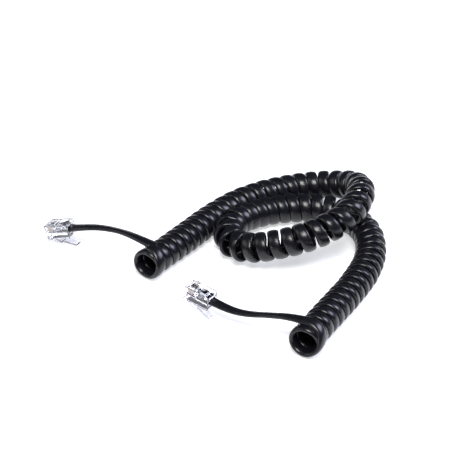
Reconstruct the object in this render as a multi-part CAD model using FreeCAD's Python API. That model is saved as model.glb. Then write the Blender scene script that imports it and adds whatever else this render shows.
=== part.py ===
"""Curly handset cord with a four-position modular plug on each end, lying on a flat surface.

Units are millimetres, +Z is up and z = 0 is the surface the cord lies on.
The origin is the middle of the layout's footprint. Each plug is drawn in a frame of its own:
origin at the middle of its rear face, +x out of the rear along the cord, +y across the width
and +z towards the contacts.
"""
import FreeCAD, Part
import math
import os

from FreeCAD import Matrix, Placement, Rotation, Vector

# ---- Cord: a flat-oval jacket, coiled at full thickness --------------------------------------------
JACKET_WIDTH = 5.1
JACKET_THICKNESS = 2.4
COIL_DIAMETER = 13.4
RUN_SHARE = 0.45            # part of the shorter run that each bend's tangent takes up

# Axis of the coil, from the end of plug A to the end of plug B.
COIL_ROUTE = [
    (-27.9, -4.9, 6.7),
    (-17.9, 7.2, 6.7),
    (-7.8, 20.2, 6.7),
    (1.6, 32.5, 6.7),
    (12.9, 43.7, 6.7),
    (26.7, 51.5, 6.7),
    (41.5, 56.2, 6.7),
    (55.1, 55.0, 8.7),
    (65.5, 46.2, 14.2),
    (67.3, 33.4, 19.2),
    (63.9, 20.6, 20.7),
    (58.5, 10.2, 20.7),
    (48.6, 3.2, 18.7),
    (37.8, 0.5, 15.7),
    (27.3, 1.7, 12.0),
    (17.4, 3.2, 9.2),
    (9.9, 8.4, 7.7),
    (7.1, 17.0, 7.2),
    (10.0, 26.4, 7.2),
    (18.0, 32.9, 7.0),
    (27.5, 36.9, 6.7),
    (39.0, 38.9, 6.7),
    (50.9, 37.9, 6.7),
    (61.8, 31.4, 6.7),
    (69.0, 20.3, 6.7),
    (70.4, 6.7, 6.7),
    (67.2, -7.6, 6.7),
    (59.8, -22.9, 6.7),
    (51.1, -37.0, 6.7),
    (43.9, -48.6, 6.7),
    (37.8, -59.2, 6.7),
]
# Middle line of each uncoiled lead, from the plug's rear face to the top of the coil's end turn.
LEAD_ROUTES = {
    "a": [
        (-62.8, 19.7, 8.6),
        (-56.3, 16.7, 11.1),
        (-49.8, 15.1, 12.2),
        (-40.8, 11.2, 13.1),
        (-32.2, 5.0, 13.6),
        (-25.0, -1.4, 13.8),
    ],
    "b": [
        (0.5, -33.9, 8.6),
        (6.8, -37.9, 7.5),
        (14.5, -41.9, 8.0),
        (23.6, -45.4, 10.2),
        (33.0, -50.2, 13.1),
        (40.6, -54.4, 13.8),
    ],
}

# ---- Plug housing ----------------------------------------------------------------------------------
PLUG_LENGTH = 12.0
PLUG_WIDTH = 7.65
PLUG_HEIGHT = 6.5
PLUG_ROLL = {"a": -3.0, "b": -6.0}  # degrees about the plug's own long axis
SIDE_EDGE_RADIUS = 0.3
NOSE_CHAMFER = 0.5
FIT_GAP = 0.05              # each side, between the housing and what sits in it
JACKET_END_GAP = 0.3
JACKET_SIDE_GAP = 0.12
MOUTH_DEPTH = 0.7
MOUTH_FLARE = 0.35

# ---- Contacts and conductors -----------------------------------------------------------------------
CONTACT_COUNT = 4
CONTACT_PITCH = 1.02
CONTACT_THICKNESS = 0.32
CONTACT_LENGTH = 2.8
CONTACT_NOSE_SETBACK = 1.0
CONTACT_RECESS = 0.6        # contact edge below the housing's top face
CONTACT_CORNER_RADIUS = 0.35
TINE_WIDTH = 0.7
TINE_HEIGHT = 0.9
TINE_INSET = 0.3
CONDUCTOR_DIAMETER = 0.84
CONDUCTOR_LEVEL = -0.4      # conductor axis above the plug's own axis
CONDUCTOR_END_WALL = 0.7    # housing wall ahead of the conductors
CORE_DIAMETER = 0.36
TINE_CORE_SHARE = 0.25      # how far past the core's axis a tine goes, as a share of its diameter

# ---- Crimped bars ----------------------------------------------------------------------------------
WIRE_BAR_CONTACT_GAP = 0.7  # from the contacts back to the wire bar
WIRE_BAR_LENGTH = 1.1
WIRE_BAR_HEIGHT = 1.9
WIRE_BAR_CHAMFER = 0.25
WIRE_BAR_JACKET_GAP = 0.4   # from the wire bar back to the end of the jacket
STRAIN_BAR_SETBACK = 0.6    # from the end of the jacket back to the strain bar
STRAIN_BAR_LENGTH = 3.0
STRAIN_BAR_TOP = 2.3
STRAIN_BAR_BITE = 1.1       # how far its front edge is pressed into the jacket
STRAIN_BAR_LAND = 0.5
STRAIN_BAR_SLOPE_LENGTH = 1.0

# ---- Latch lever -----------------------------------------------------------------------------------
LATCH_ANGLE = 20.0          # below the housing's floor when free, degrees
LATCH_LENGTH = 11.9         # from its bending line to its tip
LATCH_THICKNESS = 0.85
LATCH_TAIL_WIDTH = 3.2
LATCH_SHOULDER_WIDTH = 4.2
LATCH_SHOULDER_LENGTH = 4.4
LATCH_SHOULDER_DROP = 0.6
LATCH_PIVOT_SETBACK = 1.65  # bending line behind the nose
LATCH_PIVOT_DROP = 0.8      # bending line below the housing's floor
LATCH_ROOT_GAP = 0.04
LATCH_ROOT_LENGTH = 1.0
LATCH_GROOVE_DEPTH = 0.3
LATCH_GROOVE_GAP = 0.3
LATCH_TIP_RADIUS = 0.35

SAME_PLACE = 1e-6           # two places closer than this are one

PLUG_FLOOR = -PLUG_HEIGHT / 2
PLUG_TOP = PLUG_HEIGHT / 2
PLUG_NOSE = -PLUG_LENGTH
CONDUCTOR_END = PLUG_NOSE + CONDUCTOR_END_WALL
CONTACT_START = PLUG_NOSE + CONTACT_NOSE_SETBACK
CONTACT_END = CONTACT_START + CONTACT_LENGTH
CONTACT_TOP = PLUG_TOP - CONTACT_RECESS
CONTACT_BOTTOM = CONDUCTOR_LEVEL - TINE_CORE_SHARE * CORE_DIAMETER
WIRE_BAR_FRONT = CONTACT_END + WIRE_BAR_CONTACT_GAP
WIRE_BAR_REAR = WIRE_BAR_FRONT + WIRE_BAR_LENGTH
WIRE_BAR_BOTTOM = CONDUCTOR_LEVEL + CONDUCTOR_DIAMETER / 2
JACKET_END = WIRE_BAR_REAR + WIRE_BAR_JACKET_GAP
STRAIN_BAR_FRONT = JACKET_END + STRAIN_BAR_SETBACK
STRAIN_BAR_REAR = STRAIN_BAR_FRONT + STRAIN_BAR_LENGTH
LATCH_PIVOT = Vector(PLUG_NOSE + LATCH_PIVOT_SETBACK, 0, PLUG_FLOOR - LATCH_PIVOT_DROP)


# ---- Shapes along a route --------------------------------------------------------------------------
def bends(points):
    """For each inner point of a route: its two unit directions, its turn in degrees and its radius."""
    found = []
    for before, here, after in zip(points, points[1:], points[2:]):
        run_in = here - before
        run_out = after - here
        turn = run_in.getAngle(run_out)
        radius = RUN_SHARE * min(run_in.Length, run_out.Length) / math.tan(turn / 2)
        found.append((run_in.normalize(), run_out.normalize(), math.degrees(turn), radius))
    return found


def swept_along(route, face):
    """Solid and length of a face carried along a route's straight runs and tangent arcs.

    The face starts on the route's first point.
    """
    points = [Vector(*point) for point in route]
    pieces = []
    length = 0.0
    start = points[0]
    for corner, (inward, outward, turn, radius) in zip(points[1:], bends(points)):
        tangent = radius * math.tan(math.radians(turn) / 2)
        arc_start = corner - inward * tangent
        run = arc_start - start
        pieces.append(face.extrude(run))
        face.translate(run)
        axis = inward.cross(outward).normalize()
        centre = arc_start + axis.cross(inward) * radius
        pieces.append(face.revolve(centre, axis, turn))
        face.rotate(centre, axis, turn)
        length += run.Length + radius * math.radians(turn)
        start = corner + outward * tangent
    last_run = points[-1] - start
    pieces.append(face.extrude(last_run))
    length += last_run.Length
    return pieces[0].multiFuse(pieces[1:]).removeSplitter(), length


def report_route(name, route, solid, section_area, length):
    """Print the bend radii, and the solid's volume beside its section times its length."""
    radii = [round(radius, 1) for _, _, _, radius in bends([Vector(*point) for point in route])]
    expected = section_area * length
    print(f"{name}: length {length:.1f}, radii {radii}")
    print(f"{name}: volume {solid.Volume:.1f}, section times length {expected:.1f}")


def oval_face(width, thickness, x=0.0):
    """Flat oval with round ends, in the plane across x, its width along y."""
    radius = thickness / 2
    flat = width / 2 - radius
    top_left = Vector(x, -flat, radius)
    top_right = Vector(x, flat, radius)
    bottom_right = Vector(x, flat, -radius)
    bottom_left = Vector(x, -flat, -radius)
    edges = [
        Part.LineSegment(top_left, top_right).toShape(),
        Part.Arc(top_right, Vector(x, width / 2, 0), bottom_right).toShape(),
        Part.LineSegment(bottom_right, bottom_left).toShape(),
        Part.Arc(bottom_left, Vector(x, -width / 2, 0), top_left).toShape(),
    ]
    return Part.Face(Part.Wire(edges))


# ---- Small helpers in a plug's own frame -----------------------------------------------------------
def block(x_range, width, z_range, y=0.0):
    """Box centred on y."""
    return Part.makeBox(
        x_range[1] - x_range[0],
        width,
        z_range[1] - z_range[0],
        Vector(x_range[0], y - width / 2, z_range[0]),
    )


def side_profile(outline, width, y=0.0):
    """Solid of an (x, z) outline, centred on y."""
    points = [Vector(x, y - width / 2, z) for x, z in outline]
    return Part.Face(Part.makePolygon(points + points[:1])).extrude(Vector(0, width, 0))


def oval_bar(width, thickness, x_range):
    """Flat oval bar along x."""
    return oval_face(width, thickness, x_range[0]).extrude(Vector(x_range[1] - x_range[0], 0, 0))


def rod(diameter, x_range, y, z):
    """Round rod along x."""
    length = x_range[1] - x_range[0]
    return Part.makeCylinder(diameter / 2, length, Vector(x_range[0], y, z), Vector(1, 0, 0))


def contact_places():
    """Middle of each contact and conductor across the plug."""
    middle = (CONTACT_COUNT - 1) / 2
    return [(index - middle) * CONTACT_PITCH for index in range(CONTACT_COUNT)]


def plug_placement(side):
    """Where a plug lies: its rear face on the lead's first point, in line with the first run."""
    first, second = [Vector(*point) for point in LEAD_ROUTES[side][:2]]
    along = (second - first).normalize()
    across = Vector(0, 0, 1).cross(along).normalize()
    across = Rotation(along, PLUG_ROLL[side]).multVec(across)
    up = along.cross(across)
    turn = Matrix(
        along.x, across.x, up.x, first.x,
        along.y, across.y, up.y, first.y,
        along.z, across.z, up.z, first.z,
        0, 0, 0, 1,
    )
    return Placement(turn)


# ---- Pieces of a plug, in its own frame ------------------------------------------------------------
def wire_bar_outline():
    """Bar that clamps the four conductors, chamfered along its lower edges."""
    top = WIRE_BAR_BOTTOM + WIRE_BAR_HEIGHT
    chamfer_top = WIRE_BAR_BOTTOM + WIRE_BAR_CHAMFER
    return [
        (WIRE_BAR_FRONT + WIRE_BAR_CHAMFER, WIRE_BAR_BOTTOM),
        (WIRE_BAR_REAR - WIRE_BAR_CHAMFER, WIRE_BAR_BOTTOM),
        (WIRE_BAR_REAR, chamfer_top),
        (WIRE_BAR_REAR, top),
        (WIRE_BAR_FRONT, top),
        (WIRE_BAR_FRONT, chamfer_top),
    ]


def strain_bar_outline():
    """Bar that bites into the jacket, deepest at its front edge."""
    jacket_top = JACKET_THICKNESS / 2
    return [
        (STRAIN_BAR_FRONT, jacket_top - STRAIN_BAR_BITE),
        (STRAIN_BAR_REAR, jacket_top),
        (STRAIN_BAR_REAR, jacket_top + STRAIN_BAR_LAND),
        (STRAIN_BAR_REAR - STRAIN_BAR_SLOPE_LENGTH, STRAIN_BAR_TOP),
        (STRAIN_BAR_FRONT, STRAIN_BAR_TOP),
    ]


def bar_width():
    """Both bars are as wide as the row of conductors and its walls."""
    return CONTACT_COUNT * CONTACT_PITCH + CONTACT_THICKNESS


def wire_bar():
    return side_profile(wire_bar_outline(), bar_width())


def strain_bar():
    return side_profile(strain_bar_outline(), bar_width())


def contact(y):
    """Blade with a rounded front corner and two tines that pierce the conductor."""
    shoulder = CONTACT_BOTTOM + TINE_HEIGHT
    outline = [(CONTACT_START, CONTACT_TOP), (CONTACT_END, CONTACT_TOP), (CONTACT_END, shoulder)]
    for tine_end in (CONTACT_END - TINE_INSET, CONTACT_START + TINE_INSET + TINE_WIDTH):
        outline += [
            (tine_end, shoulder),
            (tine_end - TINE_WIDTH / 2, CONTACT_BOTTOM),
            (tine_end - TINE_WIDTH, shoulder),
        ]
    outline.append((CONTACT_START, shoulder))
    blade = side_profile(outline, CONTACT_THICKNESS, y)
    corner = [edge for edge in blade.Edges if is_front_top_edge(edge)]
    return blade.makeFillet(CONTACT_CORNER_RADIUS, corner)


def is_front_top_edge(edge):
    middle = edge.BoundBox.Center
    return abs(middle.x - CONTACT_START) < SAME_PLACE and abs(middle.z - CONTACT_TOP) < SAME_PLACE


def conductor(y, blade):
    """Insulation of one conductor, notched where its contact pierces it."""
    insulation = rod(CONDUCTOR_DIAMETER, (CONDUCTOR_END, JACKET_END), y, CONDUCTOR_LEVEL)
    return insulation.cut([core(y), blade])


def core(y):
    return rod(CORE_DIAMETER, (CONDUCTOR_END, JACKET_END), y, CONDUCTOR_LEVEL)


def conductor_cores(blades):
    """The four copper cores, each notched by its contact."""
    return Part.makeCompound([core(y).cut(blade) for y, blade in zip(contact_places(), blades)])


def jacket_end():
    """End of the jacket inside the housing, pressed down by the strain bar."""
    jacket = oval_bar(JACKET_WIDTH, JACKET_THICKNESS, (JACKET_END, 0))
    deepest, shallowest = strain_bar_outline()[:2]
    dent = [
        deepest,
        shallowest,
        (STRAIN_BAR_REAR, STRAIN_BAR_TOP),
        (PLUG_NOSE, STRAIN_BAR_TOP),
        (PLUG_NOSE, deepest[1]),
    ]
    return jacket.cut(side_profile(dent, PLUG_WIDTH))


def window(outline):
    """Opening in the housing's top for a bar, clear of it all round."""
    front = min(x for x, _ in outline) - FIT_GAP
    rear = max(x for x, _ in outline) + FIT_GAP
    bottom = min(z for _, z in outline)
    return block((front, rear), bar_width() + 2 * FIT_GAP, (bottom, PLUG_HEIGHT))


def contact_slot(y):
    """Slot for one contact: open at the top, and through the nose over the upper part of the blade."""
    width = CONTACT_THICKNESS + 2 * FIT_GAP
    start = CONTACT_START - FIT_GAP
    end = CONTACT_END + FIT_GAP
    deep = block((start, end), width, (CONTACT_BOTTOM - FIT_GAP, PLUG_HEIGHT), y)
    nose = block((2 * PLUG_NOSE, start), width, (CONTACT_BOTTOM + TINE_HEIGHT, PLUG_HEIGHT), y)
    return [deep, nose]


def conductor_bore(y):
    return rod(CONDUCTOR_DIAMETER + FIT_GAP, (CONDUCTOR_END, JACKET_END), y, CONDUCTOR_LEVEL)


def jacket_cavity():
    """Cavity for the jacket, with a flared mouth at the rear face."""
    width = JACKET_WIDTH + 2 * JACKET_SIDE_GAP
    thickness = JACKET_THICKNESS + 2 * JACKET_SIDE_GAP
    hole = oval_bar(width, thickness, (JACKET_END - JACKET_END_GAP, FIT_GAP))
    flare = 2 * MOUTH_FLARE
    mouth = oval_bar(width + flare, thickness + flare, (-MOUTH_DEPTH, FIT_GAP))
    return [hole, mouth]


def housing_shell():
    """Outer block, rounded round both sides, with a shallow groove over the latch."""
    outline = [
        (PLUG_NOSE, PLUG_TOP),
        (0, PLUG_TOP),
        (0, PLUG_FLOOR),
        (PLUG_NOSE + NOSE_CHAMFER, PLUG_FLOOR),
        (PLUG_NOSE, PLUG_FLOOR + NOSE_CHAMFER),
    ]
    outer = side_profile(outline, PLUG_WIDTH)
    side_edges = [edge for edge in outer.Edges if edge.BoundBox.YLength < PLUG_WIDTH / 2]
    outer = outer.makeFillet(SIDE_EDGE_RADIUS, side_edges)
    groove_width = LATCH_SHOULDER_WIDTH + 2 * LATCH_GROOVE_GAP
    groove_height = (2 * PLUG_FLOOR, PLUG_FLOOR + LATCH_GROOVE_DEPTH)
    return outer.cut(block((LATCH_PIVOT.x, FIT_GAP), groove_width, groove_height))


def latch_root():
    """Pad under the nose that carries the latch."""
    rear = LATCH_PIVOT.x - LATCH_THICKNESS / 2 - LATCH_ROOT_GAP
    front = rear - LATCH_ROOT_LENGTH
    bottom = LATCH_PIVOT.z - LATCH_THICKNESS / 2
    outline = [
        (front, PLUG_FLOOR + NOSE_CHAMFER),
        (rear, PLUG_FLOOR + NOSE_CHAMFER),
        (rear, bottom),
        (front + NOSE_CHAMFER, bottom),
        (front, bottom + NOSE_CHAMFER),
    ]
    return side_profile(outline, LATCH_SHOULDER_WIDTH)


def housing():
    cuts = jacket_cavity() + [window(wire_bar_outline()), window(strain_bar_outline())]
    for y in contact_places():
        cuts += contact_slot(y)
        cuts.append(conductor_bore(y))
    body = housing_shell().fuse(latch_root()).removeSplitter()
    return body.cut(cuts)


def latch():
    """Lever in its free position: a rounded root, a wide locking shoulder and a narrow tail."""
    half = LATCH_THICKNESS / 2
    shoulder = [
        (0, half),
        (LATCH_SHOULDER_LENGTH, half),
        (LATCH_SHOULDER_LENGTH, -half - LATCH_SHOULDER_DROP),
        (0, -half),
    ]
    root_side = Vector(0, -LATCH_SHOULDER_WIDTH / 2, 0)
    root = Part.makeCylinder(half, LATCH_SHOULDER_WIDTH, root_side, Vector(0, 1, 0))
    tail = block((0, LATCH_LENGTH), LATCH_TAIL_WIDTH, (-half, half))
    tip_edges = [edge for edge in tail.Edges if is_tip_edge(edge)]
    tail = tail.makeFillet(LATCH_TIP_RADIUS, tip_edges)
    lever = root.fuse([side_profile(shoulder, LATCH_SHOULDER_WIDTH), tail]).removeSplitter()
    lever.rotate(Vector(0, 0, 0), Vector(0, 1, 0), LATCH_ANGLE)
    lever.translate(LATCH_PIVOT)
    return lever


def is_tip_edge(edge):
    box = edge.BoundBox
    return abs(box.Center.x - LATCH_LENGTH) < SAME_PLACE and box.YLength > LATCH_TAIL_WIDTH / 2


def plug_pieces(side):
    """Every piece of one plug, placed where it lies."""
    blades = [contact(y) for y in contact_places()]
    pieces = {
        "housing": housing(),
        "latch": latch(),
        "wire_bar": wire_bar(),
        "strain_bar": strain_bar(),
        "jacket_end": jacket_end(),
        "conductor_cores": conductor_cores(blades),
    }
    for number, (y, blade) in enumerate(zip(contact_places(), blades), start=1):
        pieces[f"contact_{number}"] = blade
        pieces[f"conductor_{number}"] = conductor(y, blade)
    placement = plug_placement(side)
    for shape in pieces.values():
        shape.Placement = placement.multiply(shape.Placement)
    return {f"plug_{side}_{name}": shape for name, shape in pieces.items()}


# ---- The cord --------------------------------------------------------------------------------------
def coil():
    """The coiled stretch: one fat tube of the coil's outer diameter."""
    first, second = [Vector(*point) for point in COIL_ROUTE[:2]]
    ring = Part.makeCircle(COIL_DIAMETER / 2, first, second - first)
    face = Part.Face(Part.Wire(ring))
    area = face.Area
    solid, length = swept_along(COIL_ROUTE, face)
    report_route("cord_coil", COIL_ROUTE, solid, area, length)
    return solid


def lead(side, coil_solid):
    """Uncoiled stretch from a plug's rear face to the coil, ending on the coil's surface."""
    face = oval_face(JACKET_WIDTH, JACKET_THICKNESS)
    face.Placement = plug_placement(side)
    area = face.Area
    solid, length = swept_along(LEAD_ROUTES[side], face)
    report_route(f"cord_lead_{side}", LEAD_ROUTES[side], solid, area, length)
    return solid.cut(coil_solid)


def span(shape):
    """A shape's lowest and highest corner, as text."""
    box = shape.BoundBox
    low = f"({box.XMin:.2f}, {box.YMin:.2f}, {box.ZMin:.2f})"
    high = f"({box.XMax:.2f}, {box.YMax:.2f}, {box.ZMax:.2f})"
    return f"from {low} to {high}"


def main():
    os.makedirs("parts", exist_ok=True)
    nodes = {"cord_coil": coil()}
    for side in LEAD_ROUTES:
        nodes[f"cord_lead_{side}"] = lead(side, nodes["cord_coil"])
        nodes.update(plug_pieces(side))
    for name, shape in nodes.items():
        shape.exportStep(f"parts/{name}.step")
        print(f"{name}: solids {len(shape.Solids)}, valid {shape.isValid()}, {span(shape)}")
    print(f"whole: {span(Part.makeCompound(list(nodes.values())))}")


main()
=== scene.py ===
"""Looks of a curly handset cord with a four-position modular plug on each end.

Units are metres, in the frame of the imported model: +Z is up and z = 0 is the surface it lies on.
"""
import math

import bpy
import numpy as np
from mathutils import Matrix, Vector


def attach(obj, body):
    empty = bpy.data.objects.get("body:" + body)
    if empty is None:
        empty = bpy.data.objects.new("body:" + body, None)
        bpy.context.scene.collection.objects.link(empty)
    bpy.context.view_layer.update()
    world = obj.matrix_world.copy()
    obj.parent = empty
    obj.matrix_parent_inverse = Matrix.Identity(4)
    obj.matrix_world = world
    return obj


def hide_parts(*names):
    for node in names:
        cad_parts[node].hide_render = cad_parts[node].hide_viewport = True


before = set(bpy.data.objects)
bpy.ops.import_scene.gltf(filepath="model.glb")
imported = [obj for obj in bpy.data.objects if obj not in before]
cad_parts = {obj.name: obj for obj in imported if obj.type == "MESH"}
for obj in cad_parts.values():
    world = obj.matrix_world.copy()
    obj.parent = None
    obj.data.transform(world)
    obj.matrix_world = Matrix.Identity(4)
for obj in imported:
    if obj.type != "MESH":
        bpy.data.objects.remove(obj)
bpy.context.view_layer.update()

# ---- Cord ----------------------------------------------------------------------------------------
JACKET_WIDTH = 0.0051
JACKET_THICKNESS = 0.0024
SECTION_POWER = 2.4         # 2 is an ellipse, more is nearer to a rectangle
SECTION_POINTS = 24
WINDING_RADIUS = 0.0055     # from the coil's axis to the middle of the jacket
SPLINE_ORDER = 3
SPLINE_STEPS = 32           # points drawn for each point of a route
WIND_SAMPLES = 4000         # places along the coil's axis where its pitch is added up
STEPS_PER_TURN = 44
LEAD_STEP = 0.0006

# Axis of the coil, from the end of plug A to the end of plug B.
COIL_ROUTE = [
    (-0.0279, -0.0049, 0.0067),
    (-0.0179, 0.0072, 0.0067),
    (-0.0078, 0.0202, 0.0067),
    (0.0016, 0.0325, 0.0067),
    (0.0129, 0.0437, 0.0067),
    (0.0267, 0.0515, 0.0067),
    (0.0415, 0.0562, 0.0067),
    (0.0551, 0.0550, 0.0087),
    (0.0655, 0.0462, 0.0142),
    (0.0673, 0.0334, 0.0192),
    (0.0639, 0.0206, 0.0207),
    (0.0585, 0.0102, 0.0207),
    (0.0486, 0.0032, 0.0187),
    (0.0378, 0.0005, 0.0157),
    (0.0273, 0.0017, 0.0120),
    (0.0174, 0.0032, 0.0092),
    (0.0099, 0.0084, 0.0077),
    (0.0071, 0.0170, 0.0072),
    (0.0100, 0.0264, 0.0072),
    (0.0180, 0.0329, 0.0070),
    (0.0275, 0.0369, 0.0067),
    (0.0390, 0.0389, 0.0067),
    (0.0509, 0.0379, 0.0067),
    (0.0618, 0.0314, 0.0067),
    (0.0690, 0.0203, 0.0067),
    (0.0704, 0.0067, 0.0067),
    (0.0672, -0.0076, 0.0067),
    (0.0598, -0.0229, 0.0067),
    (0.0511, -0.0370, 0.0067),
    (0.0439, -0.0486, 0.0067),
    (0.0378, -0.0592, 0.0067),
]
# Middle line of each uncoiled lead, from the plug's rear face to the top of the coil's end turn.
LEAD_ROUTES = {
    "a": [
        (-0.0628, 0.0197, 0.0086),
        (-0.0563, 0.0167, 0.0111),
        (-0.0498, 0.0151, 0.0122),
        (-0.0408, 0.0112, 0.0131),
        (-0.0322, 0.0050, 0.0136),
        (-0.0250, -0.0014, 0.0138),
    ],
    "b": [
        (0.0005, -0.0339, 0.0086),
        (0.0068, -0.0379, 0.0075),
        (0.0145, -0.0419, 0.0080),
        (0.0236, -0.0454, 0.0102),
        (0.0330, -0.0502, 0.0131),
        (0.0406, -0.0544, 0.0138),
    ],
}
# Degrees that the jacket rolls about the lead, at shares of the lead from the plug to the coil.
LEAD_ROLL = {
    "a": [(0.0, -3), (0.3, -16), (0.55, -26), (0.8, -14), (1.0, 0)],
    "b": [(0.0, -6), (0.3, -18), (0.55, -26), (0.8, -14), (1.0, 0)],
}

# Along the coil: distance from end A, pitch, and how far each turn's top is ahead of its middle.
COIL_SHAPE = [
    (0.000, 0.0049, 0.0000),
    (0.045, 0.0046, 0.0000),
    (0.060, 0.0058, 0.0000),
    (0.100, 0.0057, 0.0000),
    (0.120, 0.0075, 0.0000),
    (0.158, 0.0077, 0.0000),
    (0.170, 0.0061, -0.0002),
    (0.195, 0.0061, -0.0006),
    (0.213, 0.0060, -0.0006),
    (0.230, 0.0051, 0.0000),
    (0.275, 0.0060, 0.0000),
    (0.290, 0.0058, 0.0000),
    (0.325, 0.0045, 0.0000),
    (0.392, 0.0048, 0.0000),
]
TUCK_CHANGE = 0.290         # each turn's outer edge faces end A up to here, and end B from here on
END_SETBACK = {"a": -0.0008, "b": 0.0007}   # of the end turn's lowest point from the coil's end
END_RISE = {"a": 0.0059, "b": 0.0069}   # how far in from the coil's end a lead meets its end turn
END_EASE = {"a": 0.35, "b": 0.80}       # share of that which follows a half wave over half a turn
RISE_POWER = 1.3            # the rest fades over the same half turn by this power
END_LEAN = 0.00015          # half of how far in the top of an end turn leans
END_FLARE = 0.0016          # extra radius of an end turn where the lead meets it
END_LIFT = 0.0012           # how far the bottom of an end turn is raised
STEEPEST_TUCK = 0.5         # sine of the greatest tilt of a turn
UNEVEN_PITCH = 0.02         # share by which the pitch drifts
UNEVEN_RADIUS = 0.010       # share by which the radius drifts
UNEVEN_PERIODS = (2.3, 3.7, 5.9, 9.1)   # of that drift, in turns
SEED = 7

# ---- Looks: colours are linear, and noise scales are in features per metre -------------------------
NOISE_DETAIL = 3.0
NOISE_TO_VALUE = (0.3, 0.7)     # noise that gives the low and the high end of a value
NOISE_TO_COLOUR = (0.35, 0.65)  # noise that gives the dark and the light end of a colour
# Of each kind of surface: scale of its colour, its roughness and its bumps, then the bumps' detail,
# strength and height.
GRAINS = {
    "jacket": (260, 420, 5200, 4.0, 0.10, 0.00004),
    "plastic": (300, 900, 700, 2.0, 0.15, 0.00010),
    "metal": (1500, 2600, 6000, 3.0, 0.12, 0.00003),
    "wire": (900, 1600, 5000, 3.0, 0.15, 0.00003),
}
# Of each material: its grain, dark and light colour, roughness from and to, and other shader inputs.
MATERIALS = {
    "jacket_black": (
        "jacket", (0.0030, 0.0030, 0.0050), (0.0050, 0.0050, 0.0080), (0.25, 0.31),
        {"IOR": 1.42},
    ),
    "clear_plastic": (
        "plastic", (0.93, 0.94, 0.98), (0.97, 0.975, 1.0), (0.05, 0.12),
        {"Transmission Weight": 1.0, "IOR": 1.586},
    ),
    "contact_gold": (
        "metal", (0.34, 0.29, 0.24), (0.45, 0.39, 0.33), (0.30, 0.42),
        {"Metallic": 1.0},
    ),
    "copper": (
        "metal", (0.58, 0.29, 0.18), (0.68, 0.36, 0.23), (0.28, 0.40),
        {"Metallic": 1.0},
    ),
    "wire_black": ("wire", (0.010, 0.010, 0.011), (0.018, 0.018, 0.020), (0.38, 0.50), {}),
    "wire_red": ("wire", (0.16, 0.012, 0.010), (0.20, 0.018, 0.014), (0.38, 0.50), {}),
    "wire_green": ("wire", (0.012, 0.065, 0.022), (0.016, 0.085, 0.030), (0.38, 0.50), {}),
    "wire_yellow": ("wire", (0.30, 0.21, 0.022), (0.36, 0.26, 0.030), (0.38, 0.50), {}),
}
PLUG_MATERIALS = {
    "housing": "clear_plastic",
    "latch": "clear_plastic",
    "wire_bar": "clear_plastic",
    "strain_bar": "clear_plastic",
    "jacket_end": "jacket_black",
    "conductor_cores": "copper",
}
WIRE_MATERIALS = ("wire_black", "wire_red", "wire_green", "wire_yellow")

# ---- Studio ----------------------------------------------------------------------------------------
FLOOR_REACH = 3.0           # from the middle to each side
FLOOR_COLOURS = ((0.76, 0.76, 0.785), (0.78, 0.78, 0.80))
FLOOR_SCALE = 8
FLOOR_ROUGHNESS = 0.6
FLOOR_SPECULAR = 0.2
FLOOR_GLOW_COLOUR = (0.97, 0.98, 1.0, 1)
FLOOR_GLOW = 0.55
SKY_COLOUR = (0.80, 0.84, 1.0, 1)
SKY_STRENGTH = 0.08
LIGHT_DISTANCE = 1.0
# Of each soft box: direction from the target, side, watts and colour.
LIGHTS = {
    "top_light": ((0.0, -0.45, 0.89), 0.44, 12, (1.0, 0.99, 0.98)),
    "right_light": ((0.77, 0.20, 0.60), 0.44, 8, (0.78, 0.80, 1.0)),
    "left_light": ((-0.82, -0.05, 0.57), 0.60, 2, (1.0, 1.0, 1.0)),
}

# ---- Camera --------------------------------------------------------------------------------------
CAMERA_TARGET = (0.0075, 0.0312, 0.0)
CAMERA_ELEVATION = 35.0
CAMERA_DISTANCE = 0.747
CAMERA_LENS = 129.0
CAMERA_SENSOR = 36.0

scene = bpy.context.scene


def make_camera():
    """Camera that looks along +y and down at the target."""
    data = bpy.data.cameras.new("camera")
    data.lens = CAMERA_LENS
    data.sensor_width = CAMERA_SENSOR
    camera = bpy.data.objects.new("camera", data)
    elevation = math.radians(CAMERA_ELEVATION)
    away = Vector((0, -math.cos(elevation), math.sin(elevation)))
    camera.location = Vector(CAMERA_TARGET) + away * CAMERA_DISTANCE
    camera.rotation_euler = (math.pi / 2 - elevation, 0, 0)
    scene.collection.objects.link(camera)
    scene.camera = camera


# ---- Lines ---------------------------------------------------------------------------------------
def smooth_line(points):
    """Points along the NURBS spline of a route, close together, as Blender draws it."""
    curve = bpy.data.curves.new("route", "CURVE")
    curve.dimensions = "3D"
    spline = curve.splines.new("NURBS")
    spline.points.add(len(points) - 1)
    for control, place in zip(spline.points, points):
        control.co = (*place, 1)
    spline.order_u = SPLINE_ORDER
    spline.use_endpoint_u = True
    spline.resolution_u = SPLINE_STEPS
    carrier = bpy.data.objects.new("route", curve)
    scene.collection.objects.link(carrier)
    drawn = bpy.data.meshes.new_from_object(carrier)
    line = np.array([vertex.co for vertex in drawn.vertices], float)
    bpy.data.objects.remove(carrier)
    bpy.data.meshes.remove(drawn)
    bpy.data.curves.remove(curve)
    return line


def distances(line):
    """Distance along a line to each of its points."""
    steps = np.linalg.norm(np.diff(line, axis=0), axis=1)
    return np.concatenate([[0], np.cumsum(steps)])


def unit(vectors):
    """Each row of vectors at length one."""
    return vectors / np.linalg.norm(vectors, axis=1)[:, None]


def directions(line):
    """Unit vector along a line at each of its points."""
    return unit(np.gradient(line, distances(line), axis=0))


def between(places, known_places, values):
    """Rows of values at places, straight between the known ones."""
    columns = [np.interp(places, known_places, column) for column in values.T]
    return np.stack(columns, axis=1)


def across(vectors, along):
    """The part of each vector at right angles to along, as a unit vector."""
    return unit(vectors - np.sum(vectors * along, axis=1)[:, None] * along)


def rolled(normals, along, angles):
    """Unit normals turned about along."""
    sides = np.cross(along, normals)
    return np.cos(angles)[:, None] * normals + np.sin(angles)[:, None] * sides


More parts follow.
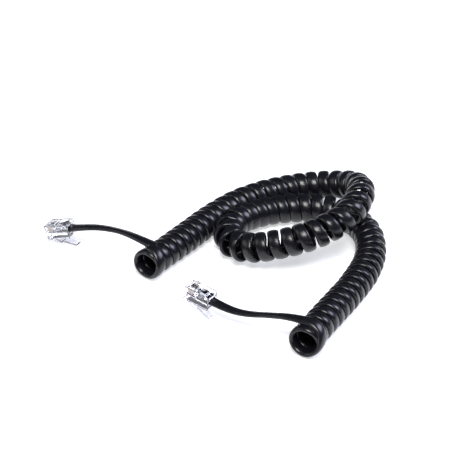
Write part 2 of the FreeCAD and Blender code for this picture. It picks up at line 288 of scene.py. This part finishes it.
def upward(count):
    """Rows of the vector straight up."""
    return np.tile((0.0, 0.0, 1.0), (count, 1))


def uneven(turns, size, rng):
    """Slow random change along the turns, from a few sine waves."""
    total = np.zeros_like(turns)
    for period in UNEVEN_PERIODS:
        total += np.sin(2 * math.pi * (turns / period + rng.random()))
    return size * total / 2


# ---- Coil ----------------------------------------------------------------------------------------
def wind(length, rng):
    """For each step of the coil: its turn from end A, and its distance along the axis."""
    start = END_SETBACK["a"] - COIL_SHAPE[0][1] / 2
    end = length - END_SETBACK["b"] + COIL_SHAPE[-1][1] / 2
    along = np.linspace(start, end, WIND_SAMPLES)
    places, pitches, _ = np.array(COIL_SHAPE).T
    pitch = np.interp(along, places, pitches)
    pitch *= 1 + uneven(along / JACKET_WIDTH, UNEVEN_PITCH, rng)
    steps = np.diff(along) * (1 / pitch[1:] + 1 / pitch[:-1]) / 2
    turns = np.concatenate([[0], np.cumsum(steps)])
    whole = round(turns[-1])
    turns *= whole / turns[-1]
    turn = np.linspace(0, whole, whole * STEPS_PER_TURN + 1)
    return turn, np.interp(turn, turns, along)


def end_turn(turns_in, side):
    """Extra distance from the coil's end, extra radius and lift of the turn that meets a lead."""
    fading = np.clip(1 - 2 * turns_in, 0, 1) ** RISE_POWER
    half_wave = (1 + np.cos(math.pi * np.clip(2 * turns_in, 0, 1))) / 2
    ease = END_EASE[side]
    rise = END_RISE[side] * (ease * half_wave + (1 - ease) * fading)
    first = np.clip(turns_in, 0, 1)
    lean = np.where(turns_in < 1, END_LEAN * (1 + np.cos(2 * math.pi * first)), 0)
    flare = END_FLARE * np.cos(math.pi * first / 2) ** 2
    lift = END_LIFT * np.sin(math.pi * first) ** 2
    return rise + lean, flare, lift


def coil_path():
    """Middle line of the jacket along the coil, and the way its outer face points."""
    rng = np.random.default_rng(SEED)
    axis = smooth_line(COIL_ROUTE)
    axis_places = distances(axis)
    axis_along = directions(axis)
    length = axis_places[-1]
    turn, along = wind(length, rng)
    rise_a, flare_a, lift_a = end_turn(turn, "a")
    rise_b, flare_b, lift_b = end_turn(turn[-1] - turn, "b")
    angle = 2 * math.pi * turn
    places, _, aheads = np.array(COIL_SHAPE).T
    along = along + rise_a - rise_b + np.interp(along, places, aheads) * np.cos(angle)
    centre = between(along, axis_places, axis)
    forward = unit(between(along, axis_places, axis_along))
    up = across(upward(len(turn)), forward)
    side = np.cross(forward, up)
    out = np.cos(angle)[:, None] * up + np.sin(angle)[:, None] * side
    radius = WINDING_RADIUS * (1 + uneven(turn, UNEVEN_RADIUS, rng)) + flare_a + flare_b
    path = centre + radius[:, None] * out + (lift_a + lift_b)[:, None] * upward(len(turn))
    return path, tucked(path, out, along)


def tucked(path, out, distance):
    """Outward normals, tilted where turns are closer than the jacket is wide, like shingles.

    The tilt is the one at which the jacket's section, taken as an ellipse, is as wide along the coil
    as the next turn is away. The turn at each end isn't tilted, and the tilt grows over the next one.
    """
    apart = np.linalg.norm(path[STEPS_PER_TURN:] - path[:-STEPS_PER_TURN], axis=1)
    half = STEPS_PER_TURN // 2
    gaps = np.pad(apart, (half, len(path) - len(apart) - half), mode="edge")
    flat, upright = 1 / JACKET_WIDTH ** 2, 1 / JACKET_THICKNESS ** 2
    squared_sine = np.clip((1 / gaps ** 2 - flat) / (upright - flat), 0, STEEPEST_TUCK ** 2)
    steps = np.arange(len(path))
    from_end = np.minimum(steps, steps[::-1]) / STEPS_PER_TURN
    share = np.clip(from_end - 1, 0, 1)
    facing = np.clip((distance - TUCK_CHANGE) / JACKET_WIDTH, -1, 1)
    along = directions(path)
    return rolled(across(out, along), along, np.arcsin(np.sqrt(squared_sine)) * share * facing)


# ---- Whole cord ----------------------------------------------------------------------------------
def lead_path(side):
    """Middle line of a lead from the plug to the coil, and the way its upper face points."""
    line = smooth_line(LEAD_ROUTES[side])
    places = distances(line)
    count = round(places[-1] / LEAD_STEP)
    path = between(np.linspace(0, places[-1], count + 1), places, line)
    along = directions(path)
    shares, degrees = np.array(LEAD_ROLL[side]).T
    roll = np.radians(np.interp(np.linspace(0, 1, count + 1), shares, degrees))
    return path, rolled(across(upward(count + 1), along), along, roll)


def cord_path():
    """The cord from plug A to plug B: middle line and normals."""
    lead_a, normal_a = lead_path("a")
    coil, normal_coil = coil_path()
    lead_b, normal_b = lead_path("b")
    path = np.concatenate([lead_a[:-1], coil, lead_b[-2::-1]])
    normals = np.concatenate([normal_a[:-1], normal_coil, normal_b[-2::-1]])
    normals = across(normals, directions(path))
    return rested(path, normals), normals


def rested(path, normals):
    """The path, raised where the jacket would reach below the surface it lies on."""
    sides = np.cross(directions(path), normals)
    wide, thick = section()
    lowest = (np.outer(sides[:, 2], wide) + np.outer(normals[:, 2], thick)).min(axis=1)
    height = np.maximum(path[:, 2], -lowest)
    return np.column_stack([path[:, :2], height])


def section():
    """Outline of the jacket: across its width and through its thickness."""
    angles = np.linspace(0, 2 * math.pi, SECTION_POINTS, endpoint=False)
    power = 2 / SECTION_POWER
    wide = np.sign(np.cos(angles)) * np.abs(np.cos(angles)) ** power
    thick = np.sign(np.sin(angles)) * np.abs(np.sin(angles)) ** power
    return wide * JACKET_WIDTH / 2, thick * JACKET_THICKNESS / 2


def tube(name, path, normals):
    """Mesh of the jacket's section carried along the path."""
    sides = np.cross(directions(path), normals)
    wide, thick = section()
    rings = (
        path[:, None, :]
        + sides[:, None, :] * wide[None, :, None]
        + normals[:, None, :] * thick[None, :, None]
    )
    count = len(wide)
    faces = []
    for ring in range(len(path) - 1):
        low = ring * count
        for point in range(count):
            after = (point + 1) % count
            faces.append((low + point, low + after, low + count + after, low + count + point))
    last = (len(path) - 1) * count
    faces.append(tuple(range(count - 1, -1, -1)))
    faces.append(tuple(range(last, last + count)))
    mesh = bpy.data.meshes.new(name)
    mesh.from_pydata(rings.reshape(-1, 3).tolist(), [], faces)
    mesh.shade_smooth()
    piece = bpy.data.objects.new(name, mesh)
    scene.collection.objects.link(piece)
    return piece


# ---- Materials -----------------------------------------------------------------------------------
def new_material(name):
    """A material, its node tree and its Principled shader."""
    material = bpy.data.materials.new(name)
    material.use_nodes = True
    tree = material.node_tree
    return material, tree, tree.nodes["Principled BSDF"]


def noise(tree, scale, detail=NOISE_DETAIL):
    """Noise in the piece's own coordinates."""
    coordinates = tree.nodes.new("ShaderNodeTexCoord")
    texture = tree.nodes.new("ShaderNodeTexNoise")
    texture.inputs["Scale"].default_value = scale
    texture.inputs["Detail"].default_value = detail
    tree.links.new(coordinates.outputs["Object"], texture.inputs["Vector"])
    return texture.outputs["Fac"]


def ranged(tree, value, low, high):
    """Noise value spread over a range."""
    node = tree.nodes.new("ShaderNodeMapRange")
    node.inputs["From Min"].default_value = NOISE_TO_VALUE[0]
    node.inputs["From Max"].default_value = NOISE_TO_VALUE[1]
    node.inputs["To Min"].default_value = low
    node.inputs["To Max"].default_value = high
    tree.links.new(value, node.inputs["Value"])
    return node.outputs["Result"]


def blended(tree, value, dark, light):
    """Colour between two, by a noise value."""
    ramp = tree.nodes.new("ShaderNodeValToRGB")
    for element, place, colour in zip(ramp.color_ramp.elements, NOISE_TO_COLOUR, (dark, light)):
        element.position = place
        element.color = (*colour, 1)
    tree.links.new(value, ramp.inputs["Fac"])
    return ramp.outputs["Color"]


def add_bump(tree, shader, height, strength, distance):
    """Turn the shader's normals by a noise value taken as height."""
    bump = tree.nodes.new("ShaderNodeBump")
    bump.inputs["Strength"].default_value = strength
    bump.inputs["Distance"].default_value = distance
    tree.links.new(height, bump.inputs["Height"])
    tree.links.new(bump.outputs["Normal"], shader.inputs["Normal"])


def grained_material(name):
    """One of MATERIALS, with its colour, roughness and bumps varied by noise."""
    grain, dark, light, roughness, inputs = MATERIALS[name]
    colour_scale, roughness_scale, bump_scale, bump_detail, strength, height = GRAINS[grain]
    material, tree, shader = new_material(name)
    colour = blended(tree, noise(tree, colour_scale), dark, light)
    tree.links.new(colour, shader.inputs["Base Color"])
    rough = ranged(tree, noise(tree, roughness_scale), *roughness)
    tree.links.new(rough, shader.inputs["Roughness"])
    add_bump(tree, shader, noise(tree, bump_scale, bump_detail), strength, height)
    for key, value in inputs.items():
        shader.inputs[key].default_value = value
    return material


def dress_plugs(materials):
    """Give every CAD node of both plugs its material."""
    names = dict(PLUG_MATERIALS)
    for number, wire in enumerate(WIRE_MATERIALS, start=1):
        names[f"contact_{number}"] = "contact_gold"
        names[f"conductor_{number}"] = wire
    for side in LEAD_ROUTES:
        for part, name in names.items():
            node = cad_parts[f"plug_{side}_{part}"]
            node.data.materials.clear()
            node.data.materials.append(materials[name])


# ---- Pieces of the scene -------------------------------------------------------------------------
def make_cord(jacket):
    """The whole cord as one piece, in place of the plain CAD coil and leads."""
    path, normals = cord_path()
    cord = tube("coil_cord", path, normals)
    cord.data.materials.append(jacket)
    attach(cord, "cord")
    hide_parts("cord_coil", "cord_lead_a", "cord_lead_b")


def make_floor():
    """Pale floor that glows a little, so that it stays white around the object."""
    reach = FLOOR_REACH
    mesh = bpy.data.meshes.new("floor")
    corners = [(-reach, -reach, 0), (reach, -reach, 0), (reach, reach, 0), (-reach, reach, 0)]
    mesh.from_pydata(corners, [], [(0, 1, 2, 3)])
    floor = bpy.data.objects.new("floor", mesh)
    scene.collection.objects.link(floor)
    material, tree, shader = new_material("floor")
    colour = blended(tree, noise(tree, FLOOR_SCALE), *FLOOR_COLOURS)
    tree.links.new(colour, shader.inputs["Base Color"])
    shader.inputs["Roughness"].default_value = FLOOR_ROUGHNESS
    shader.inputs["Specular IOR Level"].default_value = FLOOR_SPECULAR
    shader.inputs["Emission Color"].default_value = FLOOR_GLOW_COLOUR
    shader.inputs["Emission Strength"].default_value = FLOOR_GLOW
    mesh.materials.append(material)


def soft_light(name, direction, size, power, colour):
    """Square soft box that faces the camera's target from a direction."""
    data = bpy.data.lights.new(name, "AREA")
    data.shape = "SQUARE"
    data.size = size
    data.energy = power
    data.color = colour
    light = bpy.data.objects.new(name, data)
    towards = Vector(direction).normalized()
    light.location = Vector(CAMERA_TARGET) + towards * LIGHT_DISTANCE
    light.rotation_mode = "QUATERNION"
    light.rotation_quaternion = (-towards).to_track_quat("-Z", "Y")
    scene.collection.objects.link(light)


def make_studio():
    """Floor, soft boxes and a faint sky."""
    make_floor()
    for name, settings in LIGHTS.items():
        soft_light(name, *settings)
    world = bpy.data.worlds.new("studio")
    world.use_nodes = True
    background = world.node_tree.nodes["Background"]
    background.inputs["Color"].default_value = SKY_COLOUR
    background.inputs["Strength"].default_value = SKY_STRENGTH
    scene.world = world
    scene.view_settings.view_transform = "Standard"


make_camera()
materials = {name: grained_material(name) for name in MATERIALS}
make_cord(materials["jacket_black"])
dress_plugs(materials)
make_studio()
